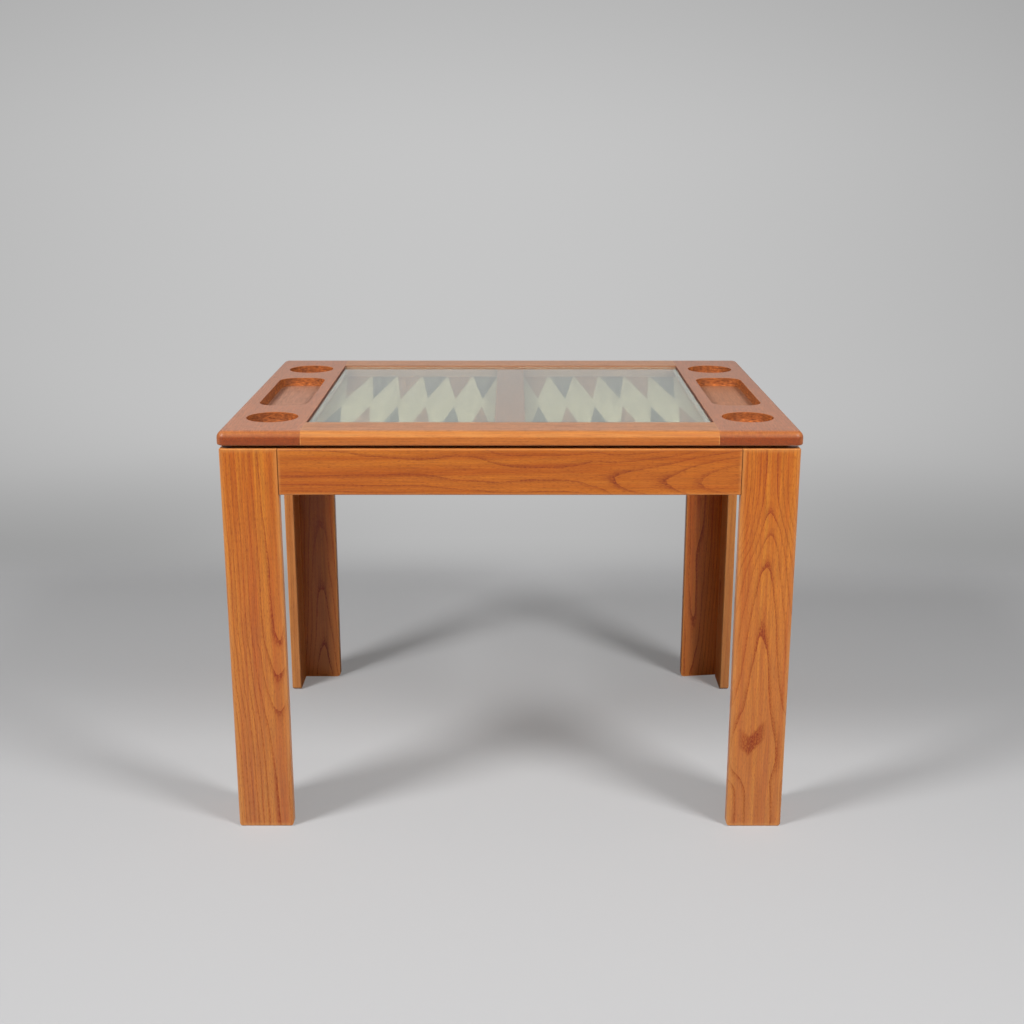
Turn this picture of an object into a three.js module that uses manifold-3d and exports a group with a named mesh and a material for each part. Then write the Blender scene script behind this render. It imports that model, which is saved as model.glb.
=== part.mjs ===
// Tric trac table: a teak game table with L-shaped legs, a framed top and a loose glass cover.
// Millimetres, +Z up, X along the table's length, the front at -Y.
// The origin lies on the floor under the middle of the table.

import * as THREE from 'three';
import { mergeVertices } from 'three/addons/utils/BufferGeometryUtils.js';
import Module from 'manifold-3d';

const wasm = await Module();
wasm.setup();

// Whole table
const tableHeight = 740;
const topWidth = 1000;
const topDepth = 750;

// Top frame
const topThickness = 25;
const topCornerRadius = 15;
const topEdgeRound = 13;
const topUnderRound = 3;
const endPanelWidth = 144;
const railWidth = 78;
const tongueThickness = 9;

// Glass cover and the rebate it lies in
const glassThickness = 4;
const glassSink = 4;
const glassClearance = 0.8;
const glassArris = 0.7;
const ledgeWidth = 5;

// Cups and trays in the end panels
const cupDiameter = 90;
const cupDepth = 18;
const cupFillet = 6;
const cupMargin = 78;
const trayLength = 290;
const trayWidth = 90;
const trayDepth = 16;
const trayCornerRadius = 30;
const trayFillet = 5;
const rimChamfer = 1;
const recessInset = 5.75;

// Playing board
const fieldThickness = 2;
const boardPanelThickness = 8;
const boardPanelLap = 25;
const boardPanelClearance = 5;
const wellPocketDepth = 3;
const barWidth = 55;
const barArris = 2;
const pointGap = 2.7;
const pointRowMargin = 3.5;
const pointTipGap = 72;
const pointThickness = 1;

// Base
const topOverhang = 3.5;
const shadowGap = 5;
const boardThickness = 20;
const legWidth = 100;
const legDepth = 100;
const legCornerRadius = 6;
const legArris = 2.5;
const footRound = 8;
const footEdgeRound = 2;
const baseTopRound = 4;
const apronHeight = 82;
const apronUnderRound = 2;
const cleatHeight = 30;
const cleatThickness = 20;
const cornerBlockLap = 50;
const cornerBlockRecess = 10;

// Locating dowels between the side cleats and the end panels
const dowelDiameter = 8;
const dowelInTop = 10;
const dowelInCleat = 18;
const dowelNose = 1;
const dowelHoleSpare = 2;

// Working clearance between pieces that are let into each other, and overrun of the cuts
const fitGap = 0.3;
const cutOverrun = 10;
const weldTolerance = 0.0001;

// Counts
const pointsPerRow = 6;
const cornerSteps = 5;
const roundSteps = 6;
const cupSegments = 48;
const dowelSegments = 24;

// Sizes that follow from the ones above
const baseHeight = tableHeight - topThickness - shadowGap;
const baseWidth = topWidth - 2 * topOverhang;
const baseDepth = topDepth - 2 * topOverhang;
const openingWidth = topWidth - 2 * endPanelWidth;
const openingDepth = topDepth - 2 * railWidth;
const wellDepthAcross = openingDepth - 2 * ledgeWidth;
const ledgeBelowFace = glassSink + glassThickness;
const barHeight = topThickness - ledgeBelowFace + wellPocketDepth;
const halfFieldWidth = (openingWidth - barWidth) / 2;
const fieldWidth = halfFieldWidth - 2 * fitGap;
const fieldDepth = wellDepthAcross - 2 * fitGap;
const pointPitch = (halfFieldWidth - pointRowMargin) / pointsPerRow;
const pointBase = pointPitch - pointGap;
const pointLength = (wellDepthAcross - pointTipGap) / 2;
const cupCentreY = topDepth / 2 - cupMargin - cupDiameter / 2;
const recessCentreX = topWidth / 2 - endPanelWidth / 2 - recessInset;
const cleatBottom = baseHeight + shadowGap - cleatHeight;
const cornerBlockHeight = cleatBottom - (baseHeight - apronHeight) - cornerBlockRecess;
const cornerBlockReachX = legWidth - boardThickness + cornerBlockLap;
const cornerBlockReachY = legDepth - boardThickness + cornerBlockLap;
const innerWidth = baseWidth - 2 * boardThickness;
const innerDepth = baseDepth - 2 * boardThickness;
const dowelX = innerWidth / 2 - cleatThickness / 2;
const dowelY = (trayLength / 2 + cupCentreY - cupDiameter / 2) / 2;

// Finishes: colour, roughness and metalness of each kind of surface
const finishes = {
  frameTeak: { color: 0xc98a55, roughness: 0.42, metalness: 0 },
  panelTeak: { color: 0xa9643c, roughness: 0.42, metalness: 0 },
  legTeak: { color: 0xc4793b, roughness: 0.45, metalness: 0 },
  innerWood: { color: 0xb98a5c, roughness: 0.7, metalness: 0 },
  barWood: { color: 0x9a6a50, roughness: 0.5, metalness: 0 },
  creamField: { color: 0xcfc9a4, roughness: 0.6, metalness: 0 },
  brownPoint: { color: 0x9b7867, roughness: 0.6, metalness: 0 },
  greyPoint: { color: 0x7f8681, roughness: 0.6, metalness: 0 },
  clearGlass: { color: 0xdfe8e2, roughness: 0.05, metalness: 0, transparent: true, opacity: 0.35 },
};

// Solids and meshes

// A closed geometry as a solid: shared vertices merged, and the slivers at a lathe's axis dropped
function solid(geometry) {
  const bare = geometry.clone();
  bare.deleteAttribute('normal');
  bare.deleteAttribute('uv');
  const merged = mergeVertices(bare, weldTolerance);
  const corners = Array.from(merged.index.array);
  const kept = [];
  for (let first = 0; first < corners.length; first += 3) {
    const [a, b, c] = corners.slice(first, first + 3);
    if (a !== b && b !== c && c !== a) kept.push(a, b, c);
  }
  return new wasm.Manifold(new wasm.Mesh({
    numProp: 3,
    vertProperties: new Float32Array(merged.attributes.position.array),
    triVerts: new Uint32Array(kept),
  }));
}

// A solid as a named mesh with its own material, placed at a point of its group
function piece(name, shape, finish, place = new THREE.Vector3()) {
  const mesh = shape.getMesh();
  const geometry = new THREE.BufferGeometry();
  geometry.setAttribute('position', new THREE.BufferAttribute(mesh.vertProperties, 3));
  geometry.setIndex(new THREE.BufferAttribute(mesh.triVerts, 1));
  geometry.computeVertexNormals();
  const named = new THREE.Mesh(geometry, new THREE.MeshStandardMaterial(finishes[finish]));
  named.name = name;
  named.position.copy(place);
  return named;
}

// A rectangle about its own centre; radiusAt gives the radius of the corner on the sides (sx, sy)
function outline(width, height, radiusAt = () => 0) {
  const shape = new THREE.Shape();
  const turns = [[1, -1], [1, 1], [-1, 1], [-1, -1]];
  turns.forEach(([sx, sy], turn) => {
    const radius = radiusAt(sx, sy);
    const x = sx * width / 2;
    const y = sy * height / 2;
    if (radius > 0) {
      const start = (turn - 1) * Math.PI / 2;
      shape.absarc(x - sx * radius, y - sy * radius, radius, start, start + Math.PI / 2, false);
    } else if (turn === 0) {
      shape.moveTo(x, y);
    } else {
      shape.lineTo(x, y);
    }
  });
  shape.closePath();
  return shape;
}

// An outline carried up by a height, about the origin
function carriedUp(shape, height, steps = cornerSteps) {
  const geometry = new THREE.ExtrudeGeometry(shape, {
    depth: height,
    curveSegments: steps,
    bevelEnabled: false,
  });
  return geometry.translate(0, 0, -height / 2);
}

// A board about its own centre: the space that its plan, front and side outlines share.
// The plan lies in x and y, the front in x and z, and the side in y and z.
function board(size, rounds, steps = cornerSteps) {
  const views = [];
  if (rounds.plan) {
    views.push(carriedUp(outline(size.x, size.y, rounds.plan), size.z, steps));
  }
  if (rounds.front) {
    const front = carriedUp(outline(size.x, size.z, rounds.front), size.y, steps);
    views.push(front.rotateX(Math.PI / 2));
  }
  if (rounds.side) {
    const side = carriedUp(outline(size.y, size.z, rounds.side), size.x, steps);
    views.push(side.rotateX(Math.PI / 2).rotateZ(Math.PI / 2));
  }
  return views.map(solid).reduce((whole, next) => whole.intersect(next));
}

// A plain block between two opposite corners, given in either order
function block(corner, opposite) {
  const box = new THREE.Box3().setFromPoints([corner, opposite]);
  const size = box.getSize(new THREE.Vector3());
  const middle = box.getCenter(new THREE.Vector3());
  const geometry = new THREE.BoxGeometry(size.x, size.y, size.z);
  geometry.translate(middle.x, middle.y, middle.z);
  return solid(geometry);
}

// An upright round bar or hole about the z axis between two heights
function roundBar(diameter, low, high) {
  const geometry = new THREE.CylinderGeometry(diameter / 2, diameter / 2, high - low, dowelSegments);
  geometry.rotateX(Math.PI / 2);
  geometry.translate(0, 0, (low + high) / 2);
  return geometry;
}

const at = (x, y, z) => new THREE.Vector3(x, y, z);
const sideWord = (sideX) => (sideX < 0 ? 'left' : 'right');
const rowWord = (sideY) => (sideY < 0 ? 'front' : 'back');
const cornerWords = (sideX, sideY) => `${rowWord(sideY)}_${sideWord(sideX)}`;
const sides = [-1, 1];

// Base: legs, aprons, cleats, corner blocks and dowels

// The face board of a leg covers the corner, and the side board stands behind it
function legFaceBoard(sideX, sideY) {
  const shape = board(at(legWidth, boardThickness, baseHeight), {
    plan: (sx, sy) => {
      if (sx === -sideX) return legArris;
      return sy === sideY ? legCornerRadius : 0;
    },
    front: (sx, sz) => {
      if (sz < 0) return footRound;
      return sx === sideX ? baseTopRound : 0;
    },
    side: (sy, sz) => {
      if (sz < 0) return sy === sideY ? footEdgeRound : 0;
      return sy === sideY ? baseTopRound : 0;
    },
  });
  const x = sideX * (baseWidth - legWidth) / 2;
  const y = sideY * (baseDepth - boardThickness) / 2;
  return piece(`${cornerWords(sideX, sideY)}_leg_face_board`, shape, 'legTeak', at(x, y, baseHeight / 2));
}

function legSideBoard(sideX, sideY) {
  const width = legDepth - boardThickness;
  const shape = board(at(boardThickness, width, baseHeight), {
    plan: (sx, sy) => (sy === -sideY ? legArris : 0),
    front: (sx, sz) => {
      if (sz < 0) return sx === sideX ? footRound : 0;
      return sx === sideX ? baseTopRound : 0;
    },
    side: (sy, sz) => (sz < 0 && sy === -sideY ? footRound : 0),
  });
  const x = sideX * (baseWidth - boardThickness) / 2;
  const y = sideY * (baseDepth / 2 - boardThickness - width / 2);
  return piece(`${cornerWords(sideX, sideY)}_leg_side_board`, shape, 'legTeak', at(x, y, baseHeight / 2));
}

// An apron is flush with the legs' outer faces; its outer top edge and its bottom edges are rounded
function apron(name, length, along, side) {
  const profile = (outward, up) => {
    if (up < 0) return apronUnderRound;
    return outward === side ? baseTopRound : 0;
  };
  const z = baseHeight - apronHeight / 2;
  if (along === 'x') {
    const shape = board(at(length, boardThickness, apronHeight), { side: profile });
    return piece(name, shape, 'legTeak', at(0, side * (baseDepth - boardThickness) / 2, z));
  }
  const shape = board(at(boardThickness, length, apronHeight), { front: profile });
  return piece(name, shape, 'legTeak', at(side * (baseWidth - boardThickness) / 2, 0, z));
}

// Cleats stand proud of the aprons by the shadow gap and carry the top
function longCleat(sideY) {
  const y = sideY * (innerDepth - cleatThickness) / 2;
  const low = at(-innerWidth / 2, -cleatThickness / 2, -cleatHeight / 2);
  const shape = block(low, low.clone().negate());
  return piece(`${rowWord(sideY)}_cleat`, shape, 'innerWood', at(0, y, cleatBottom + cleatHeight / 2));
}

function sideCleat(sideX) {
  const length = innerDepth - 2 * cleatThickness;
  const low = at(-cleatThickness / 2, -length / 2, -cleatHeight / 2);
  const bar = block(low, low.clone().negate());
  const face = cleatHeight / 2;
  const hole = roundBar(dowelDiameter + 2 * fitGap, face - dowelInCleat, face + cutOverrun);
  const holes = sides.map((sideY) => solid(hole.clone().translate(0, sideY * dowelY, 0)));
  const shape = holes.reduce((whole, next) => whole.subtract(next), bar);
  return piece(`${sideWord(sideX)}_cleat`, shape, 'innerWood', at(sideX * dowelX, 0, cleatBottom + face));
}

// A three-cornered block in the angle of each leg ties the two aprons to it
function cornerBlock(sideX, sideY) {
  const shape = new THREE.Shape();
  shape.moveTo(0, 0);
  shape.lineTo(-sideX * cornerBlockReachX, 0);
  shape.lineTo(0, -sideY * cornerBlockReachY);
  shape.closePath();
  const prism = solid(carriedUp(shape, cornerBlockHeight));
  const place = at(sideX * innerWidth / 2, sideY * innerDepth / 2, cleatBottom - cornerBlockHeight / 2);
  return piece(`${cornerWords(sideX, sideY)}_corner_block`, prism, 'innerWood', place);
}

// A dowel is glued in its cleat and stands loose in the end panel's hole
function locatingDowel(sideX, sideY) {
  const radius = dowelDiameter / 2;
  const length = dowelInCleat + dowelInTop;
  const profile = [
    new THREE.Vector2(0, 0),
    new THREE.Vector2(radius, 0),
    new THREE.Vector2(radius, length - dowelNose),
    new THREE.Vector2(radius - dowelNose, length),
    new THREE.Vector2(0, length),
  ];
  const geometry = new THREE.LatheGeometry(profile, dowelSegments);
  geometry.rotateX(Math.PI / 2);
  const place = at(sideX * dowelX, sideY * dowelY, cleatBottom + cleatHeight - dowelInCleat);
  return piece(`${cornerWords(sideX, sideY)}_locating_dowel`, solid(geometry), 'innerWood', place);
}

// Top frame: everything here stands on the frame's underside at height zero of its group

// The whole slab with both of its edges rounded, before it is divided into panels and rails
function slabBlank() {
  const shape = outline(topWidth, topDepth, () => topCornerRadius);
  const rounded = (round) => new THREE.ExtrudeGeometry(shape, {
    depth: topThickness + cutOverrun,
    curveSegments: roundSteps,
    bevelThickness: round,
    bevelSize: round,
    bevelOffset: -round,
    bevelSegments: roundSteps,
  });
  const above = rounded(topEdgeRound);
  above.translate(0, 0, -cutOverrun - topEdgeRound);
  const below = rounded(topUnderRound);
  below.translate(0, 0, topUnderRound);
  return solid(above).intersect(solid(below));
}

// The hollow of a cup: a flat floor, a fillet, an upright wall and a chamfered rim
function cupHollow() {
  const radius = cupDiameter / 2;
  const profile = [new THREE.Vector2(0, -cupDepth)];
  for (let step = 0; step <= cornerSteps; step += 1) {
    const turn = step / cornerSteps * Math.PI / 2;
    const reach = radius - cupFillet + cupFillet * Math.sin(turn);
    profile.push(new THREE.Vector2(reach, -cupDepth + cupFillet * (1 - Math.cos(turn))));
  }
  profile.push(new THREE.Vector2(radius, -rimChamfer));
  profile.push(new THREE.Vector2(radius + rimChamfer, 0));
  profile.push(new THREE.Vector2(radius + rimChamfer, cutOverrun));
  profile.push(new THREE.Vector2(0, cutOverrun));
  const geometry = new THREE.LatheGeometry(profile, cupSegments);
  geometry.rotateX(Math.PI / 2);
  return geometry;
}

// The hollow of a tray about a centre line: a long rounded pocket with a filleted floor and a chamfered rim
function trayHollow(centreX) {
  const pocketShape = outline(trayWidth, trayLength, () => trayCornerRadius);
  const pocket = new THREE.ExtrudeGeometry(pocketShape, {
    depth: trayDepth + cutOverrun,
    curveSegments: roundSteps,
    bevelThickness: trayFillet,
    bevelSize: trayFillet,
    bevelOffset: -trayFillet,
    bevelSegments: cornerSteps,
  });
  pocket.translate(centreX, 0, topThickness - trayDepth + trayFillet);
  const rim = new THREE.ExtrudeGeometry(pocketShape, {
    depth: cutOverrun,
    curveSegments: roundSteps,
    bevelThickness: rimChamfer,
    bevelSize: rimChamfer,
    bevelSegments: 1,
  });
  rim.translate(centreX, 0, topThickness);
  return solid(pocket).add(solid(rim));
}

// An end panel: cups, tray, dowel holes, and along its inner edge the tongue that carries the glass
function endPanel(sideX, blank) {
  const joint = sideX * openingWidth / 2;
  const outer = sideX * (topWidth / 2 + cutOverrun);
  const far = topDepth / 2 + cutOverrun;
  const room = block(at(joint, -far, -cutOverrun), at(outer, far, topThickness + cutOverrun));
  const tongueTop = topThickness - ledgeBelowFace;
  const tongueHalf = openingDepth / 2 + railWidth / 2;
  const tongue = block(
    at(joint - sideX * ledgeWidth, -tongueHalf, tongueTop - tongueThickness),
    at(joint + sideX * ledgeWidth, tongueHalf, tongueTop),
  );
  let shape = blank.intersect(room).add(tongue);
  sides.forEach((sideY) => {
    const cup = cupHollow();
    cup.translate(sideX * recessCentreX, sideY * cupCentreY, topThickness);
    shape = shape.subtract(solid(cup));
    const hole = roundBar(dowelDiameter + 2 * fitGap, -cutOverrun, dowelInTop + dowelHoleSpare);
    hole.translate(sideX * dowelX, sideY * dowelY, 0);
    shape = shape.subtract(solid(hole));
  });
  shape = shape.subtract(trayHollow(sideX * recessCentreX));
  return piece(`${sideWord(sideX)}_end_panel`, shape, 'panelTeak');
}

// A rail: the rebate for the glass along its inner edge, and a groove in each end for the tongues
function frameRail(sideY, blank) {
  const inner = sideY * wellDepthAcross / 2;
  const outer = sideY * (topDepth / 2 + cutOverrun);
  const half = openingWidth / 2;
  const far = half + cutOverrun;
  const above = topThickness + cutOverrun;
  const room = block(at(-half, inner, -cutOverrun), at(half, outer, above));
  const ledge = topThickness - ledgeBelowFace;
  const rebate = block(
    at(-far, inner - sideY * cutOverrun, ledge),
    at(far, sideY * openingDepth / 2, above),
  );
  let shape = blank.intersect(room).subtract(rebate);
  const grooveTop = ledge + fitGap;
  const grooveBottom = ledge - tongueThickness - fitGap;
  const grooveEnd = sideY * (openingDepth / 2 + railWidth / 2 + fitGap);
  sides.forEach((sideX) => {
    const groove = block(
      at(sideX * (half - ledgeWidth - fitGap), inner - sideY * cutOverrun, grooveBottom),
      at(sideX * far, grooveEnd, grooveTop),
    );
    shape = shape.subtract(groove);
  });
  return piece(`${rowWord(sideY)}_rail`, shape, 'frameTeak');
}

// The panel that closes the well from below lies under the frame, inside the cleats. A shallow pocket in
// its upper face takes the playing field and the foot of the bar.
function boardPanel() {
  const width = openingWidth + 2 * boardPanelLap;
  const depth = innerDepth - 2 * cleatThickness - 2 * boardPanelClearance;
  const low = at(-width / 2, -depth / 2, -boardPanelThickness);
  const sheet = block(low, at(width / 2, depth / 2, 0));
  const pocket = block(
    at(-openingWidth / 2, -wellDepthAcross / 2, -wellPocketDepth),
    at(openingWidth / 2, wellDepthAcross / 2, cutOverrun),
  );
  return piece('board_panel', sheet.subtract(pocket), 'innerWood');
}

// The bar between the two halves of the board reaches up to the glass
function centreBar() {
  const rounded = (sx, sz) => (sz > 0 ? barArris : 0);
  const shape = board(at(barWidth, fieldDepth, barHeight), { front: rounded });
  return piece('centre_bar', shape, 'barWood', at(0, 0, barHeight / 2 - wellPocketDepth));
}

// A point as an outline in its row: its base lies on the well's wall and its tip towards the middle
function pointOutline(centreX, sideY, inset) {
  const flank = Math.hypot(pointBase / 2, pointLength);
  const base = sideY * (wellDepthAcross / 2 - fitGap - inset);
  const halfBase = pointBase / 2 - inset * (flank + pointBase / 2) / pointLength;
  const tip = sideY * (wellDepthAcross / 2 - pointLength + inset * flank / (pointBase / 2));
  const shape = new THREE.Shape();
  shape.moveTo(centreX - halfBase, base);
  shape.lineTo(centreX + halfBase, base);
  shape.lineTo(centreX, tip);
  shape.closePath();
  return shape;
}

// One half of the field with its pockets, and the points that are let into them
function fieldHalf(sideX) {
  const middle = sideX * (barWidth + halfFieldWidth) / 2;
  const rowStart = (sideX < 0 ? pointRowMargin : 0) - halfFieldWidth / 2;
  const low = at(-fieldWidth / 2, -fieldDepth / 2, 0);
  const high = at(fieldWidth / 2, fieldDepth / 2, fieldThickness);
  let sheet = block(low, high);
  const group = new THREE.Group();
  group.position.set(middle, 0, -wellPocketDepth);
  sides.forEach((sideY) => {
    for (let place = 0; place < pointsPerRow; place += 1) {
      const centreX = rowStart + (place + 0.5) * pointPitch;
      const pocket = carriedUp(pointOutline(centreX, sideY, 0), pointThickness + cutOverrun);
      pocket.translate(0, 0, fieldThickness + (cutOverrun - pointThickness) / 2);
      sheet = sheet.subtract(solid(pocket));
      const inlay = solid(carriedUp(pointOutline(centreX, sideY, fitGap), pointThickness));
      const brown = (place % 2 === 0) === (sideY > 0);
      const name = `${sideWord(sideX)}_${rowWord(sideY)}_point_${place + 1}`;
      const height = fieldThickness - pointThickness / 2;
      group.add(piece(name, inlay, brown ? 'brownPoint' : 'greyPoint', at(0, 0, height)));
    }
  });
  group.add(piece(`${sideWord(sideX)}_field`, sheet, 'creamField'));
  return group;
}

// Glass cover with ground edges
function glassPane() {
  const size = at(openingWidth - 2 * glassClearance, openingDepth - 2 * glassClearance, glassThickness);
  const ground = () => glassArris;
  const shape = board(size, { plan: ground, front: ground, side: ground }, 1);
  const z = topThickness - glassSink - glassThickness / 2;
  return piece('glass_pane', shape, 'clearGlass', at(0, 0, z));
}

// The table
const base = new THREE.Group();
sides.forEach((sideY) => {
  sides.forEach((sideX) => {
    base.add(legFaceBoard(sideX, sideY));
    base.add(legSideBoard(sideX, sideY));
    base.add(cornerBlock(sideX, sideY));
    base.add(locatingDowel(sideX, sideY));
  });
  base.add(apron(`${rowWord(sideY)}_apron`, baseWidth - 2 * legWidth, 'x', sideY));
  base.add(longCleat(sideY));
});
sides.forEach((sideX) => {
  base.add(apron(`${sideWord(sideX)}_apron`, baseDepth - 2 * legDepth, 'y', sideX));
  base.add(sideCleat(sideX));
});

const top = new THREE.Group();
top.position.set(0, 0, baseHeight + shadowGap);
const blank = slabBlank();
sides.forEach((side) => {
  top.add(endPanel(side, blank));
  top.add(frameRail(side, blank));
  top.add(fieldHalf(side));
});
top.add(boardPanel());
top.add(centreBar());
top.add(glassPane());

const table = new THREE.Group();
table.add(base, top);

export default table;
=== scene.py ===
import math

import bpy
import numpy as np
from mathutils import Matrix, Vector


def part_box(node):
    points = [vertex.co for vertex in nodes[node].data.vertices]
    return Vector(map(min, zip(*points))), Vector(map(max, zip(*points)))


# Tric trac table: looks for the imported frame.
# Metres, +Z up, X along the table, the front at -Y.

print("loading the frame")
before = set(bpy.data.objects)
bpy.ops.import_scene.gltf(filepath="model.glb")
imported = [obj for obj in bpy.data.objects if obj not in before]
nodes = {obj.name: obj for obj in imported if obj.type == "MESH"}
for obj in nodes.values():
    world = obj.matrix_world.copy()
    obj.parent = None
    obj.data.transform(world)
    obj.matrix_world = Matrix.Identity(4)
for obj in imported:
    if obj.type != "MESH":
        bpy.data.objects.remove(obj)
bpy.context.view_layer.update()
scene = bpy.context.scene
scene.view_settings.view_transform = "Standard"
millimetre = 0.001


# Small tools

def linearColour(code):  # an sRGB hex colour as the linear values that sockets take
    parts = [int(code[i:i + 2], 16) / 255 for i in (0, 2, 4)]
    return tuple(c / 12.92 if c <= 0.04045 else ((c + 0.055) / 1.055) ** 2.4 for c in parts) + (1.0,)


def addNode(tree, kind, settings=None, links=None):  # a node with its settings, and values or links by socket
    node = tree.nodes.new(kind)
    for name, value in (settings or {}).items():
        setattr(node, name, value)
    for socket, value in (links or {}).items():
        if isinstance(value, bpy.types.Node):
            value = value.outputs[0]  # a node that is named whole gives its first output
        if isinstance(value, bpy.types.NodeSocket):
            tree.links.new(value, node.inputs[socket])
        else:
            node.inputs[socket].default_value = value
    return node


def newMaterial(name):  # an empty node material and its tree
    material = bpy.data.materials.new(name)
    material.use_nodes = True
    material.node_tree.nodes.clear()
    return material, material.node_tree


def newGroup(name, kind, inputs, outputs):  # a node group, with the names of its sockets by their type
    tree = bpy.data.node_groups.new(name, kind)
    for side, sockets in (("INPUT", inputs), ("OUTPUT", outputs)):
        for socketType, labels in sockets.items():
            for label in labels:
                tree.interface.new_socket(label, in_out=side, socket_type="NodeSocket" + socketType)
    return tree


def tablePlace(tree):  # X, Y and Z of a point in metres of the table
    place = addNode(tree, "ShaderNodeTexCoord")
    return addNode(tree, "ShaderNodeSeparateXYZ", links={0: place.outputs["Object"]}).outputs


def showingRays(tree):  # 1 for a ray that shows a surface straight or mirrored, and 1 for those or through the glass
    path = addNode(tree, "ShaderNodeLightPath").outputs
    mirrored = addNode(tree, "ShaderNodeMath", {"operation": "MAXIMUM"},
                       {0: path["Is Camera Ray"], 1: path["Is Glossy Ray"]})
    seen = addNode(tree, "ShaderNodeMath", {"operation": "MAXIMUM"},
                   {0: mirrored, 1: path["Is Transmission Ray"]})
    return path, mirrored, seen


def dress(node, material):
    nodes[node].data.materials.clear()
    nodes[node].data.materials.append(material)


# Camera, at the photograph's place

camera = {
    "place": (0.0055, -2.697, 1.2425),
    "pitch": 15.49,  # degrees below the horizon
    "turn": 0.044,  # degrees to the left
    "lens": 49.28,
    "sensor": 36.0,
}
print("camera")
cameraData = bpy.data.cameras.new("camera")
cameraData.lens = camera["lens"]
cameraData.sensor_width = camera["sensor"]
cameraObject = bpy.data.objects.new("camera", cameraData)
cameraObject.location = camera["place"]
cameraObject.rotation_euler = (math.radians(90 - camera["pitch"]), 0, math.radians(camera["turn"]))
scene.collection.objects.link(cameraObject)
scene.camera = cameraObject


# Studio: a round pale sweep that shows a painted glow, two soft boxes in front and an even dome

studio = {
    "floorRings": (0.001, 0.6, 1.2, 1.8, 2.4),
    "floorRadius": 2.9,
    "sweepRadius": 1.5,
    "sweepSteps": 25,
    "roundSteps": 128,
    "wallHeight": 4.6,
    "paperColour": "c6c6c7",
    "paperFill": "a2a2a3",  # a darker copy of the same paper for bounced light, so that less light bounces onto the table
    "paperLift": 0.32,  # how much painted glow the near paper shows to the camera, so that shadows look softer
    "paperShown": 0.56,  # how bright the far paper's painted glow is
    "paperFar": (0.9, 1.5),  # where along Y the near paper gives way to the far
    "paperMiddle": -0.3,  # where it is brightest, and how it falls off to the sides
    "paperSideLoss": 0.027,
    "paperCrown": (1.0, 2.3, 0.80),  # heights between which its painted glow darkens, and to what share
    "horizonShares": (0.83, 0.59),  # the share of painted glow left at the horizon, in the middle and at this place aside
    "horizonAside": 1.5,
    "horizonRise": (0.9, 3.3),  # where along Y the horizon's shade fades
    "domeColour": "ffffff",
    "domeLight": 0.08,  # what the dome gives the object
    "domeShown": (0.06, 0.52),  # how bright the dome mirrors in front of the table and behind it
    "domeTurn": (-0.5, 0.5),  # the headings between which it changes
    "lamps": {
        "softBoxLeft": {"place": (-2.7, -2.05, 3.1), "size": 1.2, "watts": 150},
        "softBoxRight": {"place": (2.3, -2.15, 2.8), "size": 1.2, "watts": 114},
    },
    "lampAim": (0, 0, 0.5),
}


def surfaceMesh(name, grid):  # a grid of points (rows, columns, 3) as quads, with its columns closed to a ring
    rows, columns = grid.shape[:2]
    index = np.arange(rows * columns).reshape(rows, columns)
    index = np.concatenate([index, index[:, :1]], axis=1)
    quads = np.stack([index[:-1, :-1], index[:-1, 1:], index[1:, 1:], index[1:, :-1]], axis=-1).reshape(-1, 4)
    mesh = bpy.data.meshes.new(name)
    mesh.from_pydata(grid.reshape(-1, 3).tolist(), [], quads.tolist())
    mesh.polygons.foreach_set("use_smooth", np.ones(len(quads), bool))
    mesh.update()
    return mesh


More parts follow.
